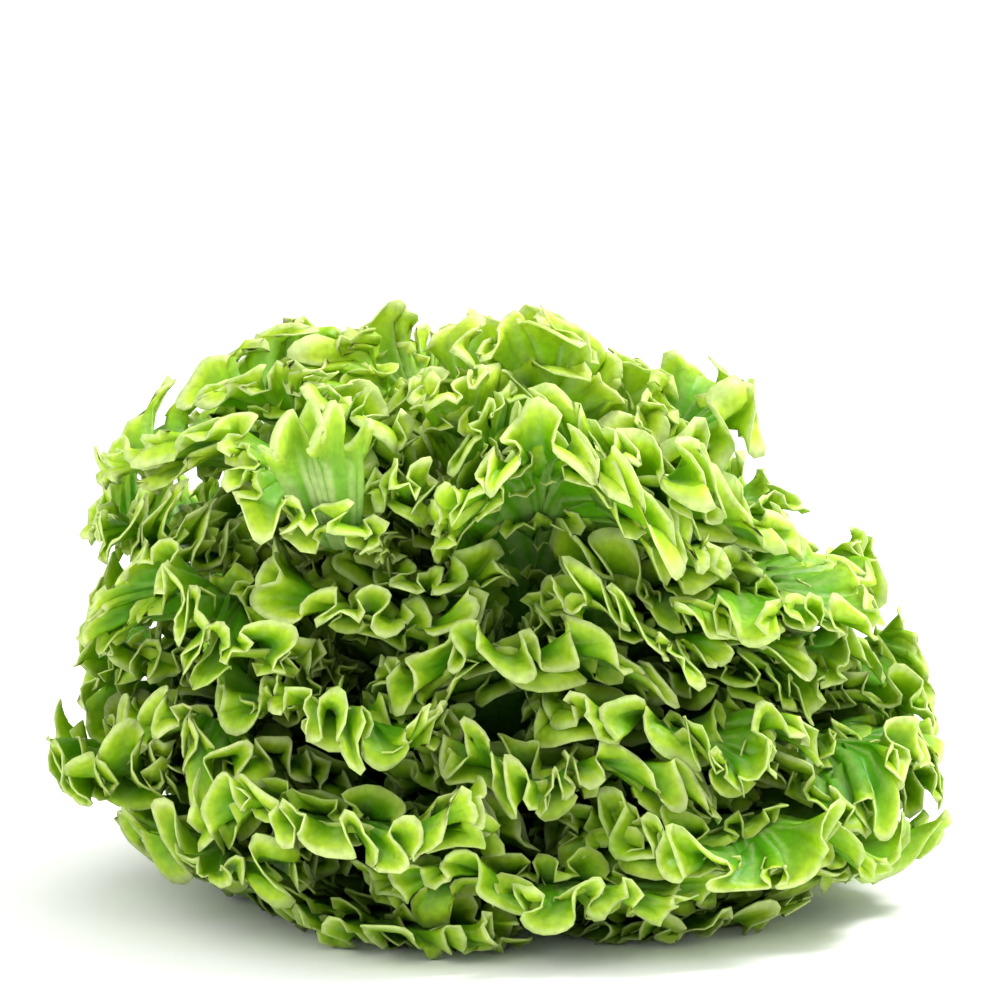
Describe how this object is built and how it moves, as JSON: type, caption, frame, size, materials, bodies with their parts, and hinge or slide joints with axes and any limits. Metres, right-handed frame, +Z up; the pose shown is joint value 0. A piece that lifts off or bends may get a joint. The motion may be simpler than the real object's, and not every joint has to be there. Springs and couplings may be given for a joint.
{
  "type": "leaf lettuce",
  "caption": "Whole head of frilly green leaf lettuce: a short cut stem and the ruffled leaves that grow round it, standing on its cut end.",
  "frame": {"origin": "middle of the bottom of the head's bounding box, on the surface that it stands on", "axes": "+X to the right as the picture shows it and along the longest side, +Y to the back, +Z up from the cut end of the stem"},
  "size_m": [0.2992, 0.2708, 0.1989],
  "materials": {
    "heart_leaf": "soft satin, pale yellow green",
    "middle_leaf": "soft satin, bright green with paler edges",
    "outer_leaf": "soft satin, mid green with paler edges",
    "stem": "matt, cream"
  },
  "bodies": {
    "root": {"leaf_01": "heart_leaf", "leaf_02": "heart_leaf", "leaf_03": "heart_leaf", "leaf_04": "heart_leaf", "leaf_05": "heart_leaf", "leaf_06": "heart_leaf", "leaf_07": "heart_leaf", "leaf_08": "heart_leaf", "leaf_09": "middle_leaf", "leaf_10": "middle_leaf", "leaf_11": "middle_leaf", "leaf_12": "middle_leaf", "leaf_13": "middle_leaf", "leaf_14": "middle_leaf", "leaf_15": "middle_leaf", "leaf_16": "middle_leaf", "leaf_17": "middle_leaf", "leaf_18": "middle_leaf", "leaf_19": "middle_leaf", "leaf_20": "middle_leaf", "leaf_21": "middle_leaf", "leaf_22": "middle_leaf", "leaf_23": "middle_leaf", "leaf_24": "middle_leaf", "leaf_25": "middle_leaf", "leaf_26": "middle_leaf", "leaf_27": "middle_leaf", "leaf_28": "middle_leaf", "leaf_29": "middle_leaf", "leaf_30": "outer_leaf", "leaf_31": "outer_leaf", "leaf_32": "outer_leaf", "leaf_33": "outer_leaf", "leaf_34": "outer_leaf", "leaf_35": "outer_leaf", "leaf_36": "outer_leaf", "leaf_37": "outer_leaf", "leaf_38": "outer_leaf", "leaf_39": "outer_leaf", "leaf_40": "outer_leaf", "leaf_41": "outer_leaf", "leaf_42": "outer_leaf", "leaf_43": "outer_leaf", "leaf_44": "outer_leaf", "leaf_45": "outer_leaf", "leaf_46": "outer_leaf", "leaf_47": "outer_leaf", "leaf_48": "outer_leaf", "leaf_49": "outer_leaf", "leaf_50": "outer_leaf", "leaf_51": "outer_leaf", "leaf_52": "outer_leaf", "leaf_53": "outer_leaf", "leaf_54": "outer_leaf", "leaf_55": "outer_leaf", "leaf_56": "outer_leaf", "leaf_57": "outer_leaf", "leaf_58": "outer_leaf", "leaf_59": "outer_leaf", "stem": "stem"}
  },
  "joints": []
}
